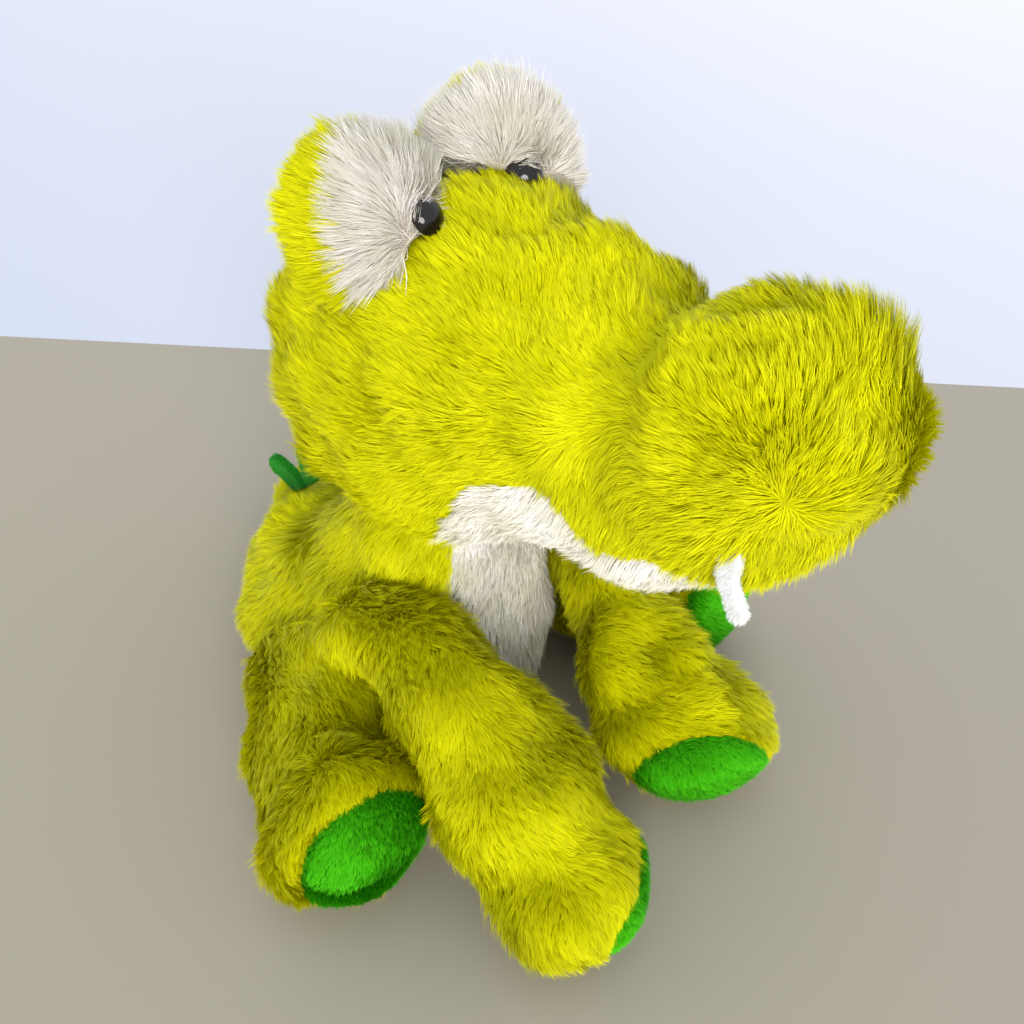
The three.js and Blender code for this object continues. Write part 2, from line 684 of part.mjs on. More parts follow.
// Spikes: rounded felt lobes that stand along the ridge of the back and of the tail
function ridgeOf(spec, toRidge) {
  const rings = evenly(0, 1, ridgePoints).map((along) => ringFrame(curvesOf(spec), spec.side, along));
  return new THREE.CatmullRomCurve3(rings.map(toRidge));
}

function spike(ridge, along, up, size) {
  const foot = ridge.getPointAt(along);
  const tangent = ridge.getTangentAt(along);
  const outward = up.clone().projectOnPlane(tangent).normalize();
  const half = (size * spikeWidth) / 2;
  const shape = new THREE.Shape();
  shape.moveTo((-size * spikeNeck) / 2, -spikeRoot);
  shape.lineTo(-half, size * spikeHeight - half);
  shape.absarc(0, size * spikeHeight - half, half, Math.PI, 0, true);
  shape.lineTo((size * spikeNeck) / 2, -spikeRoot);
  shape.closePath();
  const flat = tangent.clone().cross(outward);
  return plate(shape, felt, new THREE.Matrix4().makeBasis(tangent, outward, flat).setPosition(foot), 6);
}
const backRidge = ridgeOf(bodySpec, ({ centre, across, girth }) => centre.addScaledVector(across, girth.y));
evenly(firstBodySpikeShare, lastBodySpikeShare, bodySpikes).forEach((along, i) => {
  const solid = cutBy(spike(backRidge, along, Y, 1), bodyRoom, tailRoom, headSweep);
  addMesh("back_spike_" + (i + 1), solid, materials.felt);
});
const tailRidge = ridgeOf(tailSpec, ({ centre, beside, girth }) => centre.addScaledVector(beside, girth.x));
evenly(firstTailSpikeShare, lastTailSpikeShare, tailSpikes).forEach((along, i) => {
  const size = THREE.MathUtils.lerp(1, smallestSpikeShare, i / (tailSpikes - 1));
  const solid = cutBy(spike(tailRidge, along, Z, size), tailRoom, bodyAgainstTail);
  addMesh("tail_spike_" + (i + 1), solid, materials.felt);
});

export default group;
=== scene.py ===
"""A seated plush crocodile: its pile fur, felt and bead eyes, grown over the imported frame.

Lengths are in metres, in the frame's own axes: +Z is up and the head looks along -Y.
Each cloth skin is remeshed from the frame's solids and drawn in by the depth of its pile,
so that the tips of the fibres end about where the solids do.
"""

import math
from dataclasses import dataclass

import bmesh
import bpy
import numpy as np
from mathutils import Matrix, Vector, kdtree
from mathutils.bvhtree import BVHTree


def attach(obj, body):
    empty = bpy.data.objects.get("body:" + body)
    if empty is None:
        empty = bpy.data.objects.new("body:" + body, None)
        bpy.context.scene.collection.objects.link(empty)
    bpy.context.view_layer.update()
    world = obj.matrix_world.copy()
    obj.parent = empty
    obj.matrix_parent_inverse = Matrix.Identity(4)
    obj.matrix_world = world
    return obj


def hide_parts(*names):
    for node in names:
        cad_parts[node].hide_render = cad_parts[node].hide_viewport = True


MM = 0.001
TINY = 1e-12
SEED = 4187
FIELD_SEEDS = 1 << 30

# Camera and stage
CAMERA_TURN = math.radians(-43)
CAMERA_RISE = math.radians(39)
CAMERA_DISTANCE = 303 * MM
CAMERA_ANGLE = math.radians(42)
CAMERA_AIM = Vector((0, -40 * MM, 75 * MM))
CAMERA_CLIP = 10 * MM
PHOTO_SIDE = 1024
WALL_FOOT_PIXELS = ((0, 336), (1024, 388))
STAGE_REACH = 4.0
STAGE_FADE = (-0.1, 0.7)
STAGE_SCALE = 3
STAGE_STOPS = (0.3, 0.7)
STAGE_MOTTLE = 0.03
STAGE_ROUGHNESS = 0.75
STAGE_SPECULAR = 0.2
TABLE_COLOURS = ((0.41, 0.375, 0.29), (0.4, 0.355, 0.315))
# The backdrop's colours run from darker to paler along x: painted light falling across the wall.
WALL_SHADED_TO_LIT = ((0.58, 0.62, 0.71), (0.87, 0.86, 0.91))
WORLD_COLOUR = (0.86, 0.9, 1.0)
WORLD_LIGHT = 0.97
KEY_LIGHT = 3.05
KEY_WAY = (-0.58, -0.76, 0.32)
KEY_SPREAD = math.radians(33)
KEY_COLOUR = (1.0, 0.98, 0.93)

# Cloth skins
VOXEL = 1.3 * MM
SMOOTH_ROUNDS = 10
SMOOTH_PULL = 0.5
DEPTH_ROUNDS = 4
LAST_ROUNDS = 3
FIELD_WAVES = 14
FIELD_SPREAD = (0.7, 1.6)
PUCKER_WAVE = 19 * MM
CREASE_STEPS = 9
FLOOR_GAP = 0.25 * MM

# Fur
CLUMP_OF = 12
CLUMP_NOISE = 0.18
CLUMP_LIFT_NOISE = math.radians(5)
CLUMP_LENGTH_NOISE = 0.13
CLUMP_LENGTH_LIMIT = 0.4
CLUMP_TINT_NOISE = 0.11
TWIST_NOISE = 0.25
STRAND_NOISE = 0.16
STRAND_LIFT_NOISE = math.radians(5)
STRAND_TINT_NOISE = 0.05
STRAND_LENGTHS = (0.7, 1.1)
STRAND_BREADTHS = (0.75, 1.2)
LIE_NOISE_WAVE = 24 * MM
LIE_NOISE = 0.24
LIFT_NOISE = math.radians(9)
LIFT_LIMITS = (math.radians(8), math.radians(75))
STRAND_STEPS = (0.0, 0.52, 1.0)
STRAND_WIDTHS = (1.0, 0.85, 0.0)
BEND_FROM = 1.35
BEND_TO = 0.45
ROOM_REACH = 9 * MM
ROOM_GAP = 0.6 * MM
ROOM_LEAST = 0.12
RISE_LEAST = 1e-6
TINT_MIDDLE = 0.5
TINT_NOISE = 0.16
TINT_WAVE = 9 * MM
TINT_CELLS = 48
TINT_MOST = 0.999
CELL_MARGIN = 0.1
CELL_WIDTH = 0.8
MAP_FOOT = 0.01
MAP_HEIGHT = 0.98
PIECE_STRANDS = 64000


@dataclass
class Pile:
    """One kind of cloth: its pile, how far its backing lies under the solid, and its colours, which
    painted shade darkens at the backing and roots and painted light pales at the tips.
    """

    slot: str
    length: float
    width: float
    per_mm2: float
    lift: float
    depth: float
    pucker: float
    clump: float
    backing: tuple
    root: tuple
    middle: tuple
    tip: tuple


# Each cloth's colours, as backing, root, middle and tip: the backing and the roots are darker as
# painted shade deep in the pile, and the tips are paler as painted light catching them.
YELLOW = ((0.5, 0.49, 0.001), (0.62, 0.61, 0.001), (0.68, 0.672, 0.001), (0.73, 0.72, 0.006))
CREAM = ((0.86, 0.8, 0.68), (0.9, 0.85, 0.73), (0.94, 0.9, 0.81), (0.96, 0.94, 0.87))
# The eye domes' cream is the cream cloth painted darker, as painted shade on the domes.
SHADED_DOME_CREAM = ((0.68, 0.62, 0.52), (0.72, 0.665, 0.57), (0.76, 0.715, 0.64), (0.79, 0.755, 0.69))
GREEN = ((0.02, 0.25, 0.003), (0.03, 0.34, 0.003), (0.05, 0.46, 0.004), (0.09, 0.55, 0.012))
GREEN_FELT = ((0.01, 0.2, 0.008), (0.012, 0.24, 0.01), (0.02, 0.3, 0.015), (0.05, 0.4, 0.04))
WHITE_FELT = ((0.82, 0.83, 0.84), (0.85, 0.86, 0.86), (0.93, 0.94, 0.95), (0.97, 0.97, 0.98))

PILES = {
    "yellow": Pile("plush_yellow", 5.4 * MM, 0.2 * MM, 9, math.radians(32),
                   2.4 * MM, 0.9 * MM, 0.46, *YELLOW),
    "cream": Pile("plush_cream", 4.4 * MM, 0.18 * MM, 9, math.radians(29),
                  1.8 * MM, 0.5 * MM, 0.3, *CREAM),
    "dome_yellow": Pile("plush_yellow", 7 * MM, 0.19 * MM, 8, math.radians(38),
                        3.2 * MM, 0.4 * MM, 0.5, *YELLOW),
    "dome_cream": Pile("plush_cream", 8 * MM, 0.18 * MM, 11, math.radians(38),
                       3.6 * MM, 0.4 * MM, 0.34, *SHADED_DOME_CREAM),
    "green": Pile("plush_green", 2.2 * MM, 0.17 * MM, 15, math.radians(55),
                  1.0 * MM, 0.3 * MM, 0.3, *GREEN),
    "green_felt": Pile("felt_green", 0.9 * MM, 0.07 * MM, 16, math.radians(35),
                       0.15 * MM, 0, 0, *GREEN_FELT),
    "white_felt": Pile("felt_white", 0.9 * MM, 0.07 * MM, 20, math.radians(35),
                       0.2 * MM, 0, 0, *WHITE_FELT),
}
PLAIN_SHINE = (1.0, 1.0, 1.0)
SHINES = {"plush_yellow": (1.0, 0.96, 0.12), "plush_green": (0.2, 1.0, 0.1)}
FIBRE_MIDDLE = 0.45
FIBRE_TINTS = ((0.0, (0.8, 0.81, 0.7)), (0.5, (0.96, 0.96, 0.93)), (1.0, (1.03, 1.02, 1.1)))
FIBRE_ROUGHNESS = 0.45
FIBRE_SPECULAR = 0.3
BACKING_SCALE = 900
BACKING_DARK = 0.7
BACKING_STOPS = (0.35, 0.65)
BACKING_ROUGHNESS = 0.9
BACKING_SPECULAR = 0.1


@dataclass
class Skin:
    """A sewn part: the body it moves with, the cloth of each of its nodes, and what it holds.

    Its pile lies along `lie`, drawn from each crown (place, reach, pull) outwards, and near each
    comb (place, reach, way, lift, growth) along its way, standing up by so many degrees more and
    longer by that share. A crease is a line of places with a width and a depth.
    A spread carries a kind of cloth that much further over its neighbours than its solid goes.
    A tuck (kind, place, reach, extent) draws a kind of cloth back under its neighbours there.
    Pile of a clipped (long, short) pair of kinds is short where it meets the other kind.
    """

    body: str
    cloths: dict
    holds: tuple
    lie: tuple
    crowns: tuple = ()
    combs: tuple = ()
    creases: tuple = ()
    spreads: dict = None
    tucks: tuple = ()
    clipped: dict = None
    bare: tuple = ()
    voxel: float = VOXEL


def mirrored(marks):
    """Crowns or combs, with their mirror images on the other side."""
    flip = np.array([-1, 1, 1])
    other = [tuple(value * flip if np.ndim(value) else value for value in mark) for mark in marks]
    return (*marks, *other)


SOLE_SPREAD = 0.8 * MM
JAW_SPREAD = 1.2 * MM
DOME_SPREAD = 0.8 * MM
CLIPPED_REACH = 5 * MM
CLIPPED_SHARE = 0.3
BARE_FROM = 3 * MM
BARE_TO = 7 * MM
BARE_SHARE = 0.55
BEAD_CROWN = 50 * MM
BEAD_CROWN_PULL = 3.0
BEAD_TUFT = 6 * MM
BEAD_TUFT_PULL = -6.5
BEAD_TUFT_LIFT = 28
BEAD_TUFT_GROWTH = 0.1
DOME_VOXEL = 1.0 * MM
DOME_LIE = (0, 0.6, 1)
# The sides of the nose, and the cheeks
HEAD_CROWNS = mirrored((
    ((-0.0213, -0.1179, 0.1385), 0.02, 1.3),
    ((-0.0241, -0.0632, 0.1359), 0.014, 0.9),
))
# Over the jaw's seam in front and behind, behind the nose, its upper corners, the brow and the
# lip; then a tuft of the brow and the left upper corner of the nose
HEAD_COMBS = mirrored((
    ((-0.022, -0.088, 0.112), 0.018, (0, -0.6, -2.2), 0, 0),
    ((-0.024, -0.045, 0.098), 0.018, (0, 0.3, -1.6), 0, 0),
    ((-0.0015, -0.0965, 0.1562), 0.013, (0, 0.6, 0.3), 0, -0.2),
    ((-0.0115, -0.114, 0.151), 0.01, (-0.3, -0.1, 1.6), 20, 0.2),
    ((-0.004, -0.042, 0.15), 0.014, (0, 1.2, 0.8), 11, 0),
    ((-0.0098, -0.119, 0.1155), 0.01, (0, 0.2, -2.4), -6, 0.3),
)) + (
    ((-0.001, -0.028, 0.1503), 0.007, (0, 0.8, 1.6), 14, 0.35),
    ((0.0115, -0.116, 0.151), 0.011, (0.9, -0.1, 1.5), 30, 0.7),
)
HEAD_TUCKS = (
    ("cream", (-0.0125, -0.119, 0.1133), 13 * MM, 6 * MM),
    ("cream", (0.0125, -0.119, 0.1133), 13 * MM, 6 * MM),
)
HEAD_CREASES = (
    (((-0.0144, -0.0987, 0.1517), (-0.011, -0.1046, 0.1543), (-0.0059, -0.1104, 0.1551),
      (0.0006, -0.1152, 0.1538)), 2.2 * MM, 1.5 * MM),
    (((-0.018, -0.088, 0.149), (-0.02, -0.092, 0.145)), 3.5 * MM, 1.4 * MM),
    (((-0.0052, -0.0914, 0.1536), (0, -0.0965, 0.1562), (0.0067, -0.1005, 0.1556)), 8 * MM, 3 * MM),
    (((0.0125, -0.114, 0.151), (0.0078, -0.1194, 0.1497)), 6 * MM, -1.5 * MM),
)
TORSO_COMBS = (((0, -0.038, 0.05), 0.03, (-2.4, 0, -1.0), 0, 0),)
TORSO_CREASES = (
    (((-0.0141, 0.0467, 0.0293), (-0.0064, 0.0334, 0.0427)), 3.5 * MM, 1.2 * MM),
    (((-0.0312, 0.0269, 0.0327), (-0.0284, 0.0069, 0.0476)), 4 * MM, 1.2 * MM),
)
RIGHT_ARM_CREASES = (
    (((-0.0257, -0.0653, 0.0548), (-0.0275, -0.0763, 0.0492), (-0.0337, -0.0862, 0.0436)),
     3 * MM, 0.9 * MM),
)
LEFT_ARM_CREASES = (
    (((0.0111, -0.0592, 0.0374), (0.0082, -0.0666, 0.0278), (0.0034, -0.0726, 0.0221)),
     9 * MM, -4.5 * MM),
    (((0.0166, -0.0397, 0.0456), (0.0131, -0.0486, 0.0404)), 8 * MM, 2.5 * MM),
    (((0.0168, -0.0666, 0.0423), (0.0195, -0.0765, 0.037)), 3.5 * MM, 2 * MM),
)
RIGHT_LEG_CREASES = (
    (((-0.0544, -0.0233, 0.037), (-0.0507, -0.03, 0.0376), (-0.044, -0.0322, 0.0363)),
     3.5 * MM, 1.1 * MM),
)
RIGHT_ARM_CROWNS = (((-0.039, -0.0964, 0.0314), 0.011, 1.2),)
LEFT_ARM_CROWNS = (((0.035, -0.082, 0.032), 0.011, 1.2),)
RIGHT_LEG_CROWNS = (((-0.0611, -0.0405, 0.0389), 0.012, 1.2),)
LEFT_LEG_CROWNS = (((0.0611, -0.0405, 0.0389), 0.012, 1.2),)


def limb(side, kind, sole, lie, crowns, creases=()):
    """An arm or a leg: a yellow cover, with a green sole let into its end."""
    cloths = {f"{kind}_cover_{side}": "yellow", f"{sole}_sole_{side}": "green"}
    return Skin(f"{kind}_{side}", cloths, (f"{kind}_stuffing_{side}",), lie, crowns=crowns,
                creases=creases, spreads={"green": SOLE_SPREAD},
                clipped={("yellow", "green"): CLIPPED_REACH})


def dome(side):
    """An eye dome: cream in front, painted darker as shade, and yellow behind, its pile drawn out round
    its bead.
    """
    bead = middle_of("eye_bead_" + side)
    cloths = {"eye_white_" + side: "dome_cream", "eye_back_" + side: "dome_yellow"}
    holds = ("eye_stuffing_" + side, "eye_washer_" + side)
    crowns = ((bead, BEAD_CROWN, BEAD_CROWN_PULL), (bead, BEAD_TUFT, BEAD_TUFT_PULL))
    combs = ((bead, BEAD_TUFT, (0, 0, 0), BEAD_TUFT_LIFT, BEAD_TUFT_GROWTH),)
    return Skin("head", cloths, holds, DOME_LIE, crowns=crowns, combs=combs,
                spreads={"dome_yellow": DOME_SPREAD}, bare=(bead,), voxel=DOME_VOXEL)


def sewn_parts():
    """Every sewn part by its name, in the order in which they are made."""
    return {
        "torso": Skin("torso", {"body_cover": "yellow", "belly_panel": "cream"},
                      ("body_stuffing", "seat_pellet_pouch"), (-0.1, 0, -1), combs=TORSO_COMBS,
                      creases=TORSO_CREASES),
        "neck": Skin("neck", {"neck_stuffing": "yellow"}, (), (0, 0, -1)),
        "head": Skin("head", {"head_cover": "yellow", "jaw_panel": "cream"}, ("head_stuffing",),
                     (0, 0.8, 0.45), crowns=HEAD_CROWNS, combs=HEAD_COMBS, creases=HEAD_CREASES,
                     spreads={"cream": JAW_SPREAD}, tucks=HEAD_TUCKS,
                     clipped={("yellow", "cream"): CLIPPED_REACH}),
        "dome_right": dome("right"),
        "dome_left": dome("left"),
        "arm_right": limb("right", "arm", "paw", (-0.1, -0.8, -0.6), RIGHT_ARM_CROWNS,
                          RIGHT_ARM_CREASES),
        "arm_left": limb("left", "arm", "paw", (0.3, -0.8, -0.5), LEFT_ARM_CROWNS, LEFT_ARM_CREASES),
        "leg_right": limb("right", "leg", "foot", (-0.6, -0.75, -0.1), RIGHT_LEG_CROWNS,
                          RIGHT_LEG_CREASES),
        "leg_left": limb("left", "leg", "foot", (0.6, -0.75, -0.1), LEFT_LEG_CROWNS),
        "tail": Skin("tail", {"tail_cover": "yellow"}, ("tail_stuffing",), (0.9, 0.2, -0.1)),
    }


@dataclass
class Felt:
    """A cut felt piece: what it is sewn to, its cloth, and how far it has flopped over, in degrees."""

    body: str
    kind: str
    base: str
    lean: float


FELT_VOXEL = 0.4 * MM
FELT_ROUNDS = 4
FELT_FOLLOWS = (0, 0.2, -1)
SPIKE_REACH = 9 * MM
BACK_LEANS = (6, -9, 7, -6, 12)
TAIL_LEANS = (-8, 12, -10, 12, -9)
TOOTH_LEANS = {"right": 28, "left": 8}
TOOTH_SINK = 5 * MM
TOOTH_SINK_FROM = 0.117
TOOTH_SINK_OVER = 5 * MM


def cut_felts():
    """The spikes down the back and the tail, and the teeth, in the order in which they are made."""
    felts = {}
    for number, lean in enumerate(BACK_LEANS, 1):
        felts[f"back_spike_{number}"] = Felt("torso", "green_felt", "body_cover", lean)
    for number, lean in enumerate(TAIL_LEANS, 1):
        felts[f"tail_spike_{number}"] = Felt("tail", "green_felt", "tail_cover", lean)
    for side, lean in TOOTH_LEANS.items():
        felts[f"tooth_{side}"] = Felt("head", "white_felt", "head_cover", lean)
    return felts


# Beads
BEAD_SEGMENTS = 64
BEAD_RINGS = 20
BEAD_ROUNDING = 0.25 * MM
BEAD_SINK = 1.3 * MM
BEAD_RIM_SHARE = 0.97
BEAD_SHANK_SHARE = 0.3
BEAD_SCALE = 700
BEAD_TONES = ((0.3, (0.004, 0.003, 0.003)), (0.7, (0.011, 0.008, 0.006)))
BEAD_ROUGHNESS = 0.08

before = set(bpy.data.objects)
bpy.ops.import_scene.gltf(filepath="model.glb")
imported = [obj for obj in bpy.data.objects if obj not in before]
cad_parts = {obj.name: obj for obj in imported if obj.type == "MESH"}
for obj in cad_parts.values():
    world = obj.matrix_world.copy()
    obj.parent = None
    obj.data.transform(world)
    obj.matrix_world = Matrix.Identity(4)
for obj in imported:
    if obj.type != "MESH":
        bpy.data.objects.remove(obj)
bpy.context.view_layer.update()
density_share = 1.0


def camera_axes():
    """The camera's right, up and back vectors."""
    back = Vector((math.sin(CAMERA_TURN) * math.cos(CAMERA_RISE),
                   -math.cos(CAMERA_TURN) * math.cos(CAMERA_RISE),
                   math.sin(CAMERA_RISE)))
    right = Vector((math.cos(CAMERA_TURN), math.sin(CAMERA_TURN), 0))
    return right, back.cross(right), back


def add_object(name, data):
    """A new object in the scene."""
    made = bpy.data.objects.new(name, data)
    bpy.context.scene.collection.objects.link(made)
    return made


def add_camera():
    """The photograph's camera."""
    back = camera_axes()[2]
    data = bpy.data.cameras.new("camera")
    data.angle = CAMERA_ANGLE
    data.clip_start = CAMERA_CLIP
    camera = add_object("camera", data)
    camera.location = CAMERA_AIM + back * CAMERA_DISTANCE
    camera.rotation_mode = "QUATERNION"
    camera.rotation_quaternion = (-back).to_track_quat("-Z", "Y")
    bpy.context.scene.camera = camera


def floor_point(pixel):
    """Where the ray through a pixel of the photograph meets the floor."""
    right, up, back = camera_axes()
    half = PHOTO_SIDE / 2
    per_pixel = math.tan(CAMERA_ANGLE / 2) / half
    ray = right * ((pixel[0] - half) * per_pixel) + up * ((half - pixel[1]) * per_pixel) - back
    start = CAMERA_AIM + back * CAMERA_DISTANCE
    return start - ray * (start.z / ray.z)


def shader_tree(name):
    """A new material's nodes and links, with its Principled node."""
    material = bpy.data.materials.new(name)
    material.use_nodes = True
    nodes = material.node_tree.nodes
    return material, nodes, material.node_tree.links, nodes["Principled BSDF"]


def ramp(nodes, stops):
    """A colour ramp through (place, colour) stops."""
    node = nodes.new("ShaderNodeValToRGB")
    elements = node.color_ramp.elements
    for place, _ in stops[1:-1]:
        elements.new(place)
    for element, (place, colour) in zip(elements, stops):
        element.position = place
        element.color = (*colour, 1)
    return node


def mottled(nodes, links, scale, stops):
    """The colour of a ramp through (place, colour) stops, laid over noise."""
    noise = nodes.new("ShaderNodeTexNoise")
    noise.inputs["Scale"].default_value = scale
    tone = ramp(nodes, stops)
    links.new(noise.outputs["Fac"], tone.inputs["Fac"])
    return tone.outputs["Color"]


def multiplied(nodes, links, first, second):
    """The product of two colours."""
    mixed = nodes.new("ShaderNodeMix")
    mixed.data_type = "RGBA"
    mixed.blend_type = "MULTIPLY"
    mixed.inputs["Factor"].default_value = 1
    links.new(first, mixed.inputs["A"])
    links.new(second, mixed.inputs["B"])
    return mixed.outputs["Result"]


def set_gloss(shader, roughness, specular):
    """How rough a surface is and how much it shines."""
    shader.inputs["Roughness"].default_value = roughness
    shader.inputs["Specular IOR Level"].default_value = specular


def stage_material(name, colours):
    """A plain matt surface whose colour passes from one to the other along x and wanders a little."""
    material, nodes, links, shader = shader_tree(name)
    shades = ((1 - STAGE_MOTTLE,) * 3, (1,) * 3)
    tone = mottled(nodes, links, STAGE_SCALE, tuple(zip(STAGE_STOPS, shades)))
    place = nodes.new("ShaderNodeTexCoord")
    split = nodes.new("ShaderNodeSeparateXYZ")
    links.new(place.outputs["Object"], split.inputs["Vector"])
    span = nodes.new("ShaderNodeMapRange")
    span.inputs["From Min"].default_value = STAGE_FADE[0]
    span.inputs["From Max"].default_value = STAGE_FADE[1]
    links.new(split.outputs["X"], span.inputs["Value"])
    fade = ramp(nodes, ((0, colours[0]), (1, colours[1])))
    links.new(span.outputs["Result"], fade.inputs["Fac"])
    colour = multiplied(nodes, links, fade.outputs["Color"], tone)
    links.new(colour, shader.inputs["Base Color"])
    set_gloss(shader, STAGE_ROUGHNESS, STAGE_SPECULAR)
    return material


def add_stage():
    """A table top, and behind the photographed wall's foot a pale ground in the wall's colour."""
    first, last = (floor_point(pixel) for pixel in WALL_FOOT_PIXELS)
    along = (last - first).normalized()
    away = Vector((-along.y, along.x, 0))
    if away.dot(CAMERA_AIM - first) > 0:
        away = -away
    # The backdrop's ramp from darker to paler is painted light across the wall.
    for name, outward, colours in (("table", -away, TABLE_COLOURS), ("backdrop", away, WALL_SHADED_TO_LIT)):
        near = (first - along * STAGE_REACH, first + along * STAGE_REACH)
        far = [point + outward * STAGE_REACH for point in reversed(near)]
        mesh = bpy.data.meshes.new(name)
        mesh.from_pydata([*near, *far], [], [(0, 1, 2, 3)])
        mesh.materials.append(stage_material(name, colours))
        add_object(name, mesh)


def add_lights():
    """A pale room, and a broad window light from the front right."""
    world = bpy.data.worlds.new("room")
    world.use_nodes = True
    ground = world.node_tree.nodes["Background"]
    ground.inputs["Color"].default_value = (*WORLD_COLOUR, 1)
    ground.inputs["Strength"].default_value = WORLD_LIGHT
    bpy.context.scene.world = world
    data = bpy.data.lights.new("window", "SUN")
    data.angle = KEY_SPREAD
    data.energy = KEY_LIGHT
    data.color = KEY_COLOUR
    towards = Vector(KEY_WAY).normalized()
    lamp = add_object("window", data)
    lamp.rotation_mode = "QUATERNION"
    lamp.rotation_quaternion = (-towards).to_track_quat("-Z", "Y")


# Meshes as numpy arrays


def unit(vectors):
    """The vectors, each made one long."""
    lengths = np.linalg.norm(vectors, axis=1, keepdims=True)
    return vectors / np.maximum(lengths, TINY)


def arrays_of(mesh):
    """The mesh's points and triangles."""
    points = np.empty(len(mesh.vertices) * 3, np.float32)
    mesh.vertices.foreach_get("co", points)
    mesh.calc_loop_triangles()
    corners = np.empty(len(mesh.loop_triangles) * 3, np.int32)
    mesh.loop_triangles.foreach_get("vertices", corners)
    return points.reshape(-1, 3).astype(float), corners.reshape(-1, 3)


def mesh_from(name, points, triangles):
    """A smooth-shaded mesh, filled in at once rather than face by face."""
    mesh = bpy.data.meshes.new(name)
    mesh.vertices.add(len(points))
    mesh.vertices.foreach_set("co", points.astype(np.float32).ravel())
    mesh.loops.add(len(triangles) * 3)
    mesh.loops.foreach_set("vertex_index", triangles.astype(np.int32).ravel())
    mesh.polygons.add(len(triangles))
    mesh.polygons.foreach_set("loop_start", np.arange(0, len(triangles) * 3, 3, dtype=np.int32))
    mesh.polygons.foreach_set("use_smooth", np.ones(len(triangles), bool))
    mesh.update(calc_edges=True)
    return mesh


def gathered(values, index, count):
    """The sum of each row of values at its index."""
    return np.stack([np.bincount(index, values[:, axis], count) for axis in range(3)], 1)


def normals_of(points, triangles):
    """The normal at each point, weighted by the areas of its triangles."""
    a, b, c = (points[triangles[:, corner]] for corner in range(3))
    face = np.cross(b - a, c - a)
    total = sum(gathered(face, triangles[:, corner], len(points)) for corner in range(3))
    return unit(total)


def edges_of(triangles):
    """Each edge once, as a pair of points."""
    pairs = np.concatenate([triangles[:, [0, 1]], triangles[:, [1, 2]], triangles[:, [2, 0]]])
    return np.unique(np.sort(pairs, 1), axis=0)


def middle_of(node):
    """The middle of a node's box."""
    corners = arrays_of(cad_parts[node].data)[0]
    return (corners.min(0) + corners.max(0)) / 2


def nearness(points, place, reach):
    """1 at the place, falling to nothing some two reaches off."""
    return np.exp(-(np.linalg.norm(points - np.array(place), axis=1) / reach) ** 2)


def smoothed(points, edges, rounds):
    """Values of the points, drawn towards the mean of their neighbours for some rounds."""
    count = np.bincount(edges.ravel(), minlength=len(points))[:, None]
    for _ in range(rounds):
        total = gathered(points[edges[:, 1]], edges[:, 0], len(points))
        total += gathered(points[edges[:, 0]], edges[:, 1], len(points))
        points = points + SMOOTH_PULL * (total / np.maximum(count, 1) - points)
    return points


def largest_shell(points, triangles):
    """The points and triangles of the largest connected shell."""
    label = np.arange(len(points))
    while True:
        lowest = label[triangles].min(1)
        lower = label.copy()
        np.minimum.at(lower, triangles.ravel(), np.repeat(lowest, 3))
        lower = lower[lower]
        if np.array_equal(lower, label):
            break
        label = lower
    names, counts = np.unique(label, return_counts=True)
    kept = label == names[counts.argmax()]
    renumbered = np.cumsum(kept) - 1
    return points[kept], renumbered[triangles[kept[triangles[:, 0]]]]


def wandering(points, wave, rng):
    """A smooth random field over points, about 1 high, whose humps are about a wave apart."""
    ways = unit(rng.normal(size=(FIELD_WAVES, 3)))
    pace = 2 * math.pi / (wave * rng.uniform(*FIELD_SPREAD, FIELD_WAVES))
    phase = rng.uniform(0, 2 * math.pi, FIELD_WAVES)
    return np.sin(points @ (ways * pace[:, None]).T + phase).sum(1) / math.sqrt(FIELD_WAVES / 2)


def tree_of(points, triangles):
    """A tree of triangles, which finds the nearest of them."""
    return BVHTree.FromPolygons(points.tolist(), triangles.tolist())


def distances(tree, points):
    """How far each point is from a tree's triangles."""
    return np.array([tree.find_nearest(point)[3] for point in points.tolist()])


def points_tree(points, indices):
    """A tree of the points at the indices, which finds the nearest of them."""
    tree = kdtree.KDTree(len(indices))
    for index in indices:
        tree.insert(points[index], index)
    tree.balance()
    return tree


# Cloth skins


def remeshed(name, nodes, voxel):
    """The closed surface round several nodes, as points and triangles."""
    joined = bmesh.new()
    for node in nodes:
        joined.from_mesh(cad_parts[node].data)
    mesh = bpy.data.meshes.new(name)
    joined.to_mesh(mesh)
    joined.free()
    holder = add_object(name, mesh)
    modifier = holder.modifiers.new("remesh", "REMESH")
    modifier.mode = "VOXEL"
    modifier.voxel_size = voxel
    scene_graph = bpy.context.evaluated_depsgraph_get()
    made = holder.evaluated_get(scene_graph).to_mesh()
    points, triangles = arrays_of(made)
    holder.to_mesh_clear()
    bpy.data.objects.remove(holder)
    bpy.data.meshes.remove(mesh)
    return largest_shell(points, triangles)


@dataclass
class Surface:
    """A skin's mesh, with the distance of each point to each of its cloths."""

    points: np.ndarray
    triangles: np.ndarray
    normals: np.ndarray
    cloth_gaps: np.ndarray
    kinds: list
    room: np.ndarray = None


def cloth_gaps(skin, points):
    """The distance of each point to each of the skin's cloths, less its spread and more its tucks."""
    spreads = skin.spreads or {}
    gaps = []
    for node, kind in skin.cloths.items():
        gap = distances(tree_of(*arrays_of(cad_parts[node].data)), points) - spreads.get(kind, 0)
        for tucked, place, reach, extent in skin.tucks:
            if tucked == kind:
                gap = gap + extent * nearness(points, place, reach)
        gaps.append(gap)
    return np.stack(gaps, 1)


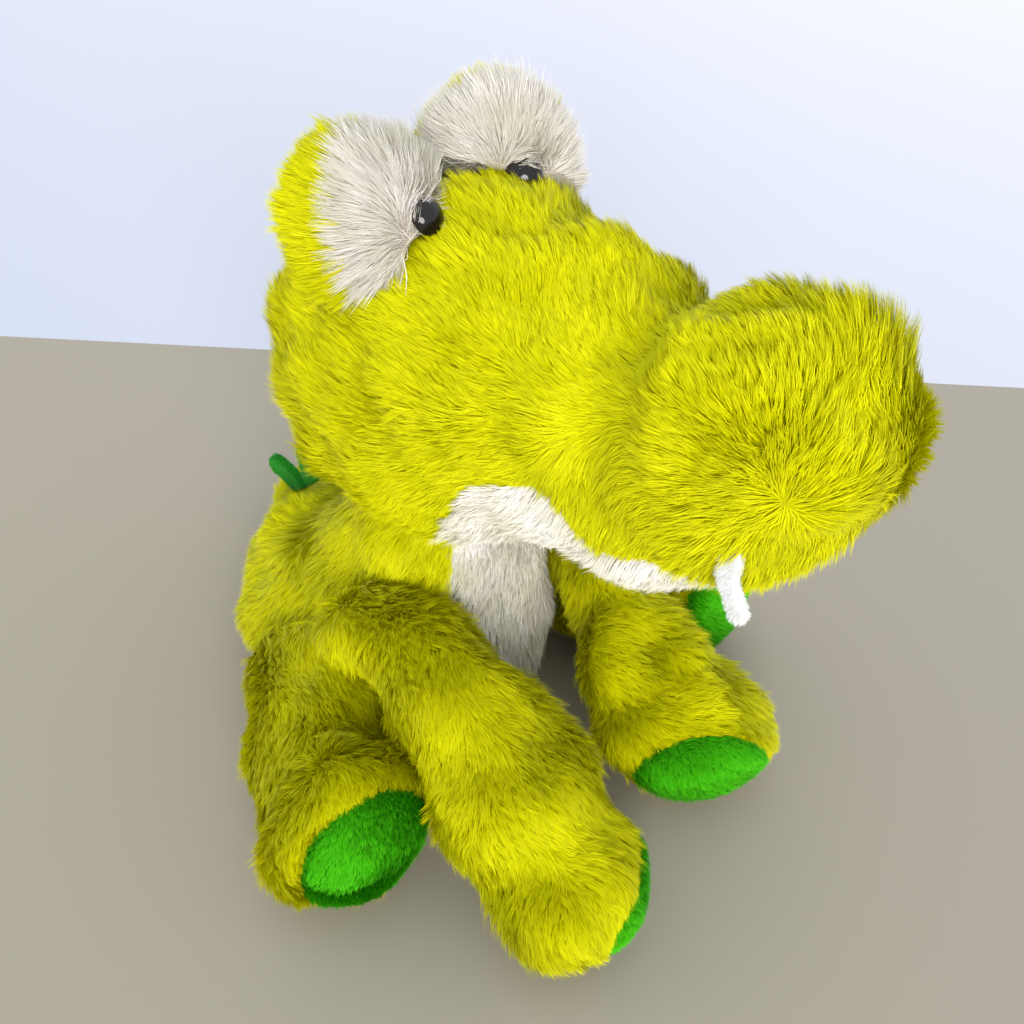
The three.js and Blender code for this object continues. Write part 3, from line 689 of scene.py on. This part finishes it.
def creased(points, creases):
    """How far each point is drawn in by the creases, each a line of places with a width and a depth."""
    drawn = np.zeros(len(points))
    for line, width, depth in creases:
        line = np.array(line)
        steps = np.linspace(0, len(line) - 1, CREASE_STEPS * (len(line) - 1) + 1)
        path = np.stack([np.interp(steps, np.arange(len(line)), line[:, axis]) for axis in range(3)], 1)
        tree = points_tree(path, range(len(path)))
        gap = np.array([tree.find(point)[2] for point in points.tolist()])
        drawn += depth * np.exp(-(gap / width) ** 2)
    return drawn


def skin_surface(name, skin, rng):
    """A sewn part's skin, eased, puckered, creased and drawn in by the depth of its pile."""
    nodes = [*skin.cloths, *skin.holds]
    points, triangles = remeshed(name, nodes, skin.voxel)
    edges = edges_of(triangles)
    points = smoothed(points, edges, SMOOTH_ROUNDS)
    gaps = cloth_gaps(skin, points)
    kinds = list(skin.cloths.values())
    nearest = gaps.argmin(1)
    depth = np.array([PILES[kind].depth for kind in kinds])[nearest]
    pucker = np.array([PILES[kind].pucker for kind in kinds])[nearest]
    drawn_in = smoothed(np.stack([depth, pucker, pucker], 1), edges, DEPTH_ROUNDS)
    drawn_in = drawn_in[:, 0] - drawn_in[:, 1] * wandering(points, PUCKER_WAVE, rng)
    normals = normals_of(points, triangles)
    drawn_in = drawn_in + creased(points, skin.creases)
    points = points - normals * drawn_in[:, None]
    points = smoothed(points, edges, LAST_ROUNDS)
    points[:, 2] = np.maximum(points[:, 2], FLOOR_GAP)
    return Surface(points, triangles, normals_of(points, triangles), gaps, kinds)


def middle_and_thin_way(points, triangles):
    """A solid's area-weighted middle and the way in which it is thinnest."""
    a, b, c = (points[triangles[:, corner]] for corner in range(3))
    area = np.linalg.norm(np.cross(b - a, c - a), axis=1)
    middle = (a + b + c) / 3
    centre = (middle * area[:, None]).sum(0) / area.sum()
    out = middle - centre
    _, ways = np.linalg.eigh((out * area[:, None]).T @ out)
    return centre, ways[:, 0]


def turned(points, centre, axis, angles):
    """Points turned about an axis through a centre, each by its own angle."""
    out = points - centre
    cos = np.cos(angles)[:, None]
    sin = np.sin(angles)[:, None]
    along = (out @ axis)[:, None] * axis
    return centre + out * cos + np.cross(axis, out) * sin + along * (1 - cos)


def felt_surface(name, felt):
    """A felt piece's skin, softened at its edges and flopped over."""
    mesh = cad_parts[name].data
    centre, thin = middle_and_thin_way(*arrays_of(mesh))
    points, triangles = remeshed(name, [name], FELT_VOXEL)
    points = smoothed(points, edges_of(triangles), FELT_ROUNDS)
    base = tree_of(*arrays_of(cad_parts[felt.base].data))
    foot = np.array(base.find_nearest(centre.tolist())[0])
    if felt.kind == "white_felt":
        angles = np.full(len(points), math.radians(-felt.lean))
        points = turned(points, centre, np.array([1.0, 0, 0]), angles)
        share = ((points[:, 2] - TOOTH_SINK_FROM) / TOOTH_SINK_OVER).clip(0, 1)
        points[:, 0] -= np.sign(centre[0]) * TOOTH_SINK * share
    else:
        out = unit((centre - foot)[None])[0]
        hinge = unit(np.cross(thin, out)[None])[0]
        if np.cross(hinge, out)[0] > 0:
            hinge = -hinge
        share = (((points - foot) @ out) / SPIKE_REACH).clip(0, 1)
        points = turned(points, foot, hinge, math.radians(felt.lean) * share)
    normals = normals_of(points, triangles)
    room = np.full(len(points), ROOM_REACH)
    return Surface(points, triangles, normals, np.zeros((len(points), 1)), [felt.kind], room)


def find_room(skins, surfaces):
    """How far each skin's points can see outwards before another body's skin, up to ROOM_REACH."""
    for name, surface in surfaces.items():
        others = [other for key, other in surfaces.items() if skins[key].body != skins[name].body]
        starts = np.cumsum([0, *(len(other.points) for other in others)])
        points = np.concatenate([other.points for other in others])
        triangles = np.concatenate([other.triangles + start for other, start in zip(others, starts)])
        tree = tree_of(points, triangles)
        room = []
        for point, normal in zip(surface.points.tolist(), surface.normals.tolist()):
            hit = tree.ray_cast(point, normal, ROOM_REACH)[3]
            room.append(ROOM_REACH if hit is None else hit)
        surface.room = np.array(room)


# Fur


def lie_of(skin, points, normals, rng):
    """The way the pile lies at each point, along the surface."""
    lie = unit(np.tile(np.array(skin.lie, float), (len(points), 1)))
    for place, reach, pull in skin.crowns:
        lie += unit(points - np.array(place)) * (pull * nearness(points, place, reach))[:, None]
    for place, reach, way, *_ in skin.combs:
        lie += np.array(way) * nearness(points, place, reach)[:, None]
    for axis in range(3):
        lie[:, axis] += LIE_NOISE * wandering(points, LIE_NOISE_WAVE, rng)
    lie -= normals * (lie * normals).sum(1, keepdims=True)
    return unit(lie)


def sow(surface, per_area, rng):
    """Roots spread evenly over the skin: for each, its triangle and its place in it."""
    a, b, c = (surface.points[surface.triangles[:, corner]] for corner in range(3))
    areas = np.linalg.norm(np.cross(b - a, c - a), axis=1) / 2
    total = np.cumsum(areas)
    count = int(total[-1] * per_area)
    at = (np.arange(count) + rng.random(count)) / count * total[-1]
    triangle = np.searchsorted(total, at).clip(0, len(areas) - 1)
    u = rng.random(count)
    v = rng.random(count)
    over = u + v > 1
    u[over] = 1 - u[over]
    v[over] = 1 - v[over]
    return triangle, np.stack([1 - u - v, u, v], 1)


def at_roots(values, surface, triangle, weights):
    """Values of the skin's points, carried to the roots."""
    corners = values[surface.triangles[triangle]]
    if corners.ndim == 2:
        return (corners * weights).sum(1)
    return (corners * weights[:, :, None]).sum(1)


def clump_leaders(roots):
    """For each root, the nearest of every few roots, to which its tip leans."""
    tree = points_tree(roots, range(0, len(roots), CLUMP_OF))
    return np.array([tree.find(root)[1] for root in roots.tolist()])


def grow(roots, normals, lie, lengths, lifts):
    """The points of each strand: it leaves the skin steeply and bends over along its lie."""
    path = [roots]
    for start, end in zip(STRAND_STEPS, STRAND_STEPS[1:]):
        share = (start + end) / 2
        rise = (lifts * (BEND_FROM + (BEND_TO - BEND_FROM) * share))[:, None]
        step = np.cos(rise) * lie + np.sin(rise) * normals
        path.append(path[-1] + step * (lengths * (end - start))[:, None])
    return np.stack(path, 1)


def strand_triangles(count, steps):
    """The triangles of each ribbon: two for each step, and one for its tip."""
    pattern = []
    for step in range(steps - 2):
        first = 2 * step
        pattern += [(first, first + 1, first + 3), (first, first + 3, first + 2)]
    last = 2 * (steps - 2)
    pattern.append((last, last + 1, last + 2))
    starts = np.arange(count)[:, None, None] * (last + 3)
    return (np.array(pattern)[None] + starts).reshape(-1, 3)


def strand_map(count, steps, tints):
    """The places of each ribbon's points in the map: across by its tint, and up from root to tip."""
    across = np.array([0.0, 1.0] * (steps - 1) + [0.5])
    up = np.repeat(np.array(STRAND_STEPS[:-1]), 2).tolist() + [1.0]
    cell = np.floor(tints.clip(0, TINT_MOST) * TINT_CELLS)[:, None]
    u = (cell + CELL_MARGIN + CELL_WIDTH * across) / TINT_CELLS
    v = np.tile(np.array(up) * MAP_HEIGHT + MAP_FOOT, (count, 1))
    return np.stack([u, v], 2).reshape(-1, 2)


def ribbons(name, paths, normals, widths, tints, rng):
    """A mesh with one tapered ribbon for each strand."""
    count, steps = paths.shape[:2]
    along = unit(paths[:, -1] - paths[:, 0])
    side = unit(np.cross(along, normals))
    face = np.cross(side, along)
    twist = rng.normal(0, TWIST_NOISE, count)[:, None]
    side = side * np.cos(twist) + face * np.sin(twist)
    rows = []
    for step in range(steps - 1):
        half = side * (widths * STRAND_WIDTHS[step] / 2)[:, None]
        rows += [paths[:, step] - half, paths[:, step] + half]
    rows.append(paths[:, -1])
    points = np.stack(rows, 1).reshape(-1, 3)
    points[:, 2] = np.maximum(points[:, 2], FLOOR_GAP)
    triangles = strand_triangles(count, steps)
    mesh = mesh_from(name, points, triangles)
    places = strand_map(count, steps, tints)
    layer = mesh.uv_layers.new(name="OFBake")
    layer.uv.foreach_set("vector", places[triangles.ravel()].astype(np.float32).ravel())
    return mesh


def fibre_material(name, pile):
    """Pile fibres: darker at the root as painted shade, paler at the tip as painted light, and each
    tuft of its own tint.
    """
    material, nodes, links, shader = shader_tree(name)
    place = nodes.new("ShaderNodeUVMap")
    place.uv_map = "OFBake"
    split = nodes.new("ShaderNodeSeparateXYZ")
    links.new(place.outputs["UV"], split.inputs["Vector"])
    along = ramp(nodes, ((0.0, pile.root), (FIBRE_MIDDLE, pile.middle), (1.0, pile.tip)))
    links.new(split.outputs["Y"], along.inputs["Fac"])
    tint = ramp(nodes, FIBRE_TINTS)
    links.new(split.outputs["X"], tint.inputs["Fac"])
    colour = multiplied(nodes, links, along.outputs["Color"], tint.outputs["Color"])
    links.new(colour, shader.inputs["Base Color"])
    set_gloss(shader, FIBRE_ROUGHNESS, FIBRE_SPECULAR)
    shader.inputs["Specular Tint"].default_value = (*SHINES.get(pile.slot, PLAIN_SHINE), 1)
    return material


def backing_material(name, pile):
    """The knitted backing under the pile, mottled as a knit, its colour darker than its fibres as
    painted shade under the pile.
    """
    material, nodes, links, shader = shader_tree(name)
    dark = tuple(value * BACKING_DARK for value in pile.backing)
    stops = tuple(zip(BACKING_STOPS, (dark, pile.backing)))
    links.new(mottled(nodes, links, BACKING_SCALE, stops), shader.inputs["Base Color"])
    set_gloss(shader, BACKING_ROUGHNESS, BACKING_SPECULAR)
    return material


FIBRES = {kind: fibre_material(kind + "_pile", pile) for kind, pile in PILES.items()}
BACKINGS = {kind: backing_material(kind + "_backing", pile) for kind, pile in PILES.items()}


def add_skin(name, skin, surface):
    """The closed cloth skin itself, one material for each kind of cloth."""
    mesh = mesh_from(name + "_skin", surface.points, surface.triangles)
    kinds = list(dict.fromkeys(surface.kinds))
    for kind in kinds:
        mesh.materials.append(BACKINGS[kind])
    gap = surface.cloth_gaps[surface.triangles].mean(1)
    cloth = np.array([kinds.index(kind) for kind in surface.kinds])[gap.argmin(1)]
    mesh.polygons.foreach_set("material_index", cloth.astype(np.int32))
    piece = add_object(name + "_skin", mesh)
    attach(piece, skin.body)
    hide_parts(*skin.cloths, *skin.holds)


@dataclass
class Roots:
    """The roots of one kind of pile, each with the root whose tuft it belongs to."""

    triangle: np.ndarray
    weights: np.ndarray
    points: np.ndarray
    normals: np.ndarray
    room: np.ndarray
    leaders: np.ndarray


def roots_of(kind, surface, rng):
    """The roots of a kind of pile, wherever its cloth is the nearest one."""
    triangle, weights = sow(surface, PILES[kind].per_mm2 / MM**2 * density_share, rng)
    gap = at_roots(surface.cloth_gaps, surface, triangle, weights)
    mine = np.array([other == kind for other in surface.kinds])[gap.argmin(1)]
    triangle = triangle[mine]
    weights = weights[mine]
    points = at_roots(surface.points, surface, triangle, weights)
    normals = unit(at_roots(surface.normals, surface, triangle, weights))
    room = at_roots(surface.room, surface, triangle, weights)
    return Roots(triangle, weights, points, normals, room, clump_leaders(points))


def trimmed(skin, kind, surface, roots):
    """The share of its length that each strand keeps beside shorter cloths and bare places."""
    share = np.ones(len(roots.points))
    for (long, short), reach in (skin.clipped or {}).items():
        if kind == long:
            gaps = surface.cloth_gaps[:, surface.kinds.index(short)]
            gap = at_roots(gaps, surface, roots.triangle, roots.weights)
            share *= CLIPPED_SHARE + (1 - CLIPPED_SHARE) * (gap / reach).clip(0, 1)
    for place in skin.bare:
        gap = np.linalg.norm(roots.points - np.array(place), axis=1)
        grown = ((gap - BARE_FROM) / (BARE_TO - BARE_FROM)).clip(0, 1)
        share *= BARE_SHARE + (1 - BARE_SHARE) * grown
    return share


def strand_lie(skin, roots, field, rng):
    """The way each strand lies: its skin's, with the noise of its tuft and its own."""
    lie = lie_of(skin, roots.points, roots.normals, field)
    shape = roots.points.shape
    jitter = rng.normal(0, CLUMP_NOISE, shape)[roots.leaders]
    jitter += rng.normal(0, STRAND_NOISE, shape)
    return unit(lie + jitter - roots.normals * (jitter * roots.normals).sum(1, keepdims=True))


def strand_lengths(skin, kind, surface, roots, rng):
    """How long each strand is where nothing stands in its way."""
    count = len(roots.points)
    lengths = PILES[kind].length * rng.uniform(*STRAND_LENGTHS, count)
    tuft = rng.normal(0, CLUMP_LENGTH_NOISE, count)[roots.leaders]
    lengths *= 1 + tuft.clip(-CLUMP_LENGTH_LIMIT, CLUMP_LENGTH_LIMIT)
    lengths *= trimmed(skin, kind, surface, roots)
    for place, reach, _, _, growth in skin.combs:
        lengths *= 1 + growth * nearness(roots.points, place, reach)
    return lengths


def strand_lifts(skin, kind, roots, field, rng):
    """How steeply each strand stands up from the skin."""
    count = len(roots.points)
    lifts = PILES[kind].lift + LIFT_NOISE * wandering(roots.points, LIE_NOISE_WAVE, field)
    for place, reach, _, extra, _ in skin.combs:
        lifts += math.radians(extra) * nearness(roots.points, place, reach)
    lifts += rng.normal(0, CLUMP_LIFT_NOISE, count)[roots.leaders]
    lifts += rng.normal(0, STRAND_LIFT_NOISE, count)
    return lifts.clip(*LIFT_LIMITS)


def strand_paths(skin, kind, surface, roots, field, rng):
    """The points of each strand, held back from other bodies and drawn in to its tuft's tip."""
    lie = strand_lie(skin, roots, field, rng)
    lengths = strand_lengths(skin, kind, surface, roots, rng)
    lifts = strand_lifts(skin, kind, roots, field, rng)
    rise = np.maximum(lengths * np.sin(lifts), RISE_LEAST)
    lengths = lengths * ((roots.room - ROOM_GAP) / rise).clip(ROOM_LEAST, 1)
    paths = grow(roots.points, roots.normals, lie, lengths, lifts)
    pull = PILES[kind].clump * np.array(STRAND_STEPS) ** 2
    return paths + (paths[roots.leaders] - paths) * pull[None, :, None]


def strand_tints(roots, field, rng):
    """Each strand's place on the ramp of tints, most of it shared with its tuft."""
    count = len(roots.points)
    tints = TINT_MIDDLE + TINT_NOISE * wandering(roots.points, TINT_WAVE, field)
    tints += rng.normal(0, CLUMP_TINT_NOISE, count)[roots.leaders]
    tints += rng.normal(0, STRAND_TINT_NOISE, count)
    return tints


def add_fur(name, skin, surface, rng):
    """The pile of one skin, as pieces of tapered fibres."""
    field_seed = int(rng.integers(FIELD_SEEDS))
    for kind in dict.fromkeys(surface.kinds):
        pile = PILES[kind]
        roots = roots_of(kind, surface, rng)
        field = np.random.default_rng(field_seed)
        paths = strand_paths(skin, kind, surface, roots, field, rng)
        tints = strand_tints(roots, field, rng)
        widths = pile.width * rng.uniform(*STRAND_BREADTHS, len(paths)) / math.sqrt(density_share)
        order = np.argsort(roots.points[:, 1], kind="stable")
        pieces = max(1, math.ceil(len(order) / PIECE_STRANDS))
        for index, part in enumerate(np.array_split(order, pieces)):
            title = f"{name}_{kind}_pile_{index + 1}"
            mesh = ribbons(title, paths[part], roots.normals[part], widths[part], tints[part], rng)
            mesh.materials.append(FIBRES[kind])
            piece = add_object(title, mesh)
            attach(piece, skin.body)


def add_felts(rng):
    """The spikes and teeth, each a felt piece with its own short fuzz."""
    for name, felt in cut_felts().items():
        surface = felt_surface(name, felt)
        skin = Skin(felt.body, {name: felt.kind}, (), FELT_FOLLOWS)
        add_skin(name, skin, surface)
        add_fur(name, skin, surface, rng)


# Beads


def bead_material():
    """Black gloss, very slightly uneven."""
    material, nodes, links, shader = shader_tree("bead")
    links.new(mottled(nodes, links, BEAD_SCALE, BEAD_TONES), shader.inputs["Base Color"])
    shader.inputs["Roughness"].default_value = BEAD_ROUGHNESS
    return material


def bead_profile(corners, middle, out):
    """A bead's (radius, height) profile along its axis: a shank, a rounded rim and a dome."""
    up = (corners - middle) @ out
    radius = np.linalg.norm(corners - middle - up[:, None] * out, axis=1)
    rim = radius.max()
    shoulder = up[radius > rim * BEAD_RIM_SHARE].min()
    shank = radius[up < shoulder - (up.max() - shoulder) * BEAD_SHANK_SHARE].max()
    profile = [(0, up.min()), (shank, up.min()), (shank, shoulder), (rim - BEAD_ROUNDING, shoulder)]
    base = shoulder + BEAD_ROUNDING
    for angle in np.linspace(0, math.pi / 2, BEAD_RINGS):
        profile.append((rim * math.cos(angle), base + (up.max() - base) * math.sin(angle)))
    return profile


def turned_mesh(name, profile, middle, out):
    """A turned solid: a profile of (radius, height) that starts and ends on the axis."""
    beside = unit(np.cross(out, [0.0, 0.0, 1.0])[None])[0]
    across = np.cross(out, beside)
    angles = np.arange(BEAD_SEGMENTS) / BEAD_SEGMENTS * 2 * math.pi
    ring = np.cos(angles)[:, None] * beside + np.sin(angles)[:, None] * across
    rows = [middle + out * height + ring * radius for radius, height in profile[1:-1]]
    points = np.concatenate([*rows, [middle + out * profile[0][1]], [middle + out * profile[-1][1]]])
    here = np.arange(BEAD_SEGMENTS)
    then = (here + 1) % BEAD_SEGMENTS
    triangles = []
    for row in range(len(rows) - 1):
        low = row * BEAD_SEGMENTS
        high = low + BEAD_SEGMENTS
        triangles += [np.stack([low + here, low + then, high + then], 1),
                      np.stack([low + here, high + then, high + here], 1)]
    foot = len(points) - 2
    top = len(points) - 1
    last = (len(rows) - 1) * BEAD_SEGMENTS
    triangles += [np.stack([np.full_like(here, foot), then, here], 1),
                  np.stack([np.full_like(here, top), last + here, last + then], 1)]
    triangles = np.concatenate(triangles)
    corners = points[triangles]
    volume = np.einsum("ij,ij->i", corners[:, 0], np.cross(corners[:, 1], corners[:, 2])).sum()
    return mesh_from(name, points, triangles if volume > 0 else triangles[:, ::-1])


def add_beads():
    """Smooth round beads on the axes of the frame's own, pressed a little into the pile."""
    material = bead_material()
    for side in ("right", "left"):
        node = "eye_bead_" + side
        corners = arrays_of(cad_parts[node].data)[0]
        middle = middle_of(node)
        out = unit((middle - middle_of("eye_washer_" + side))[None])[0]
        profile = bead_profile(corners, middle, out)
        mesh = turned_mesh(node + "_round", profile, middle - out * BEAD_SINK, out)
        mesh.materials.append(material)
        piece = add_object(node + "_round", mesh)
        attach(piece, "head")
        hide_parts(node)


bpy.context.scene.view_settings.view_transform = "Standard"
add_camera()
add_stage()
add_lights()
numbers = np.random.default_rng(SEED)
skins = sewn_parts()
surfaces = {name: skin_surface(name, skin, numbers) for name, skin in skins.items()}
find_room(skins, surfaces)
for name, skin in skins.items():
    add_skin(name, skin, surfaces[name])
    add_fur(name, skin, surfaces[name], numbers)
add_felts(numbers)
add_beads()
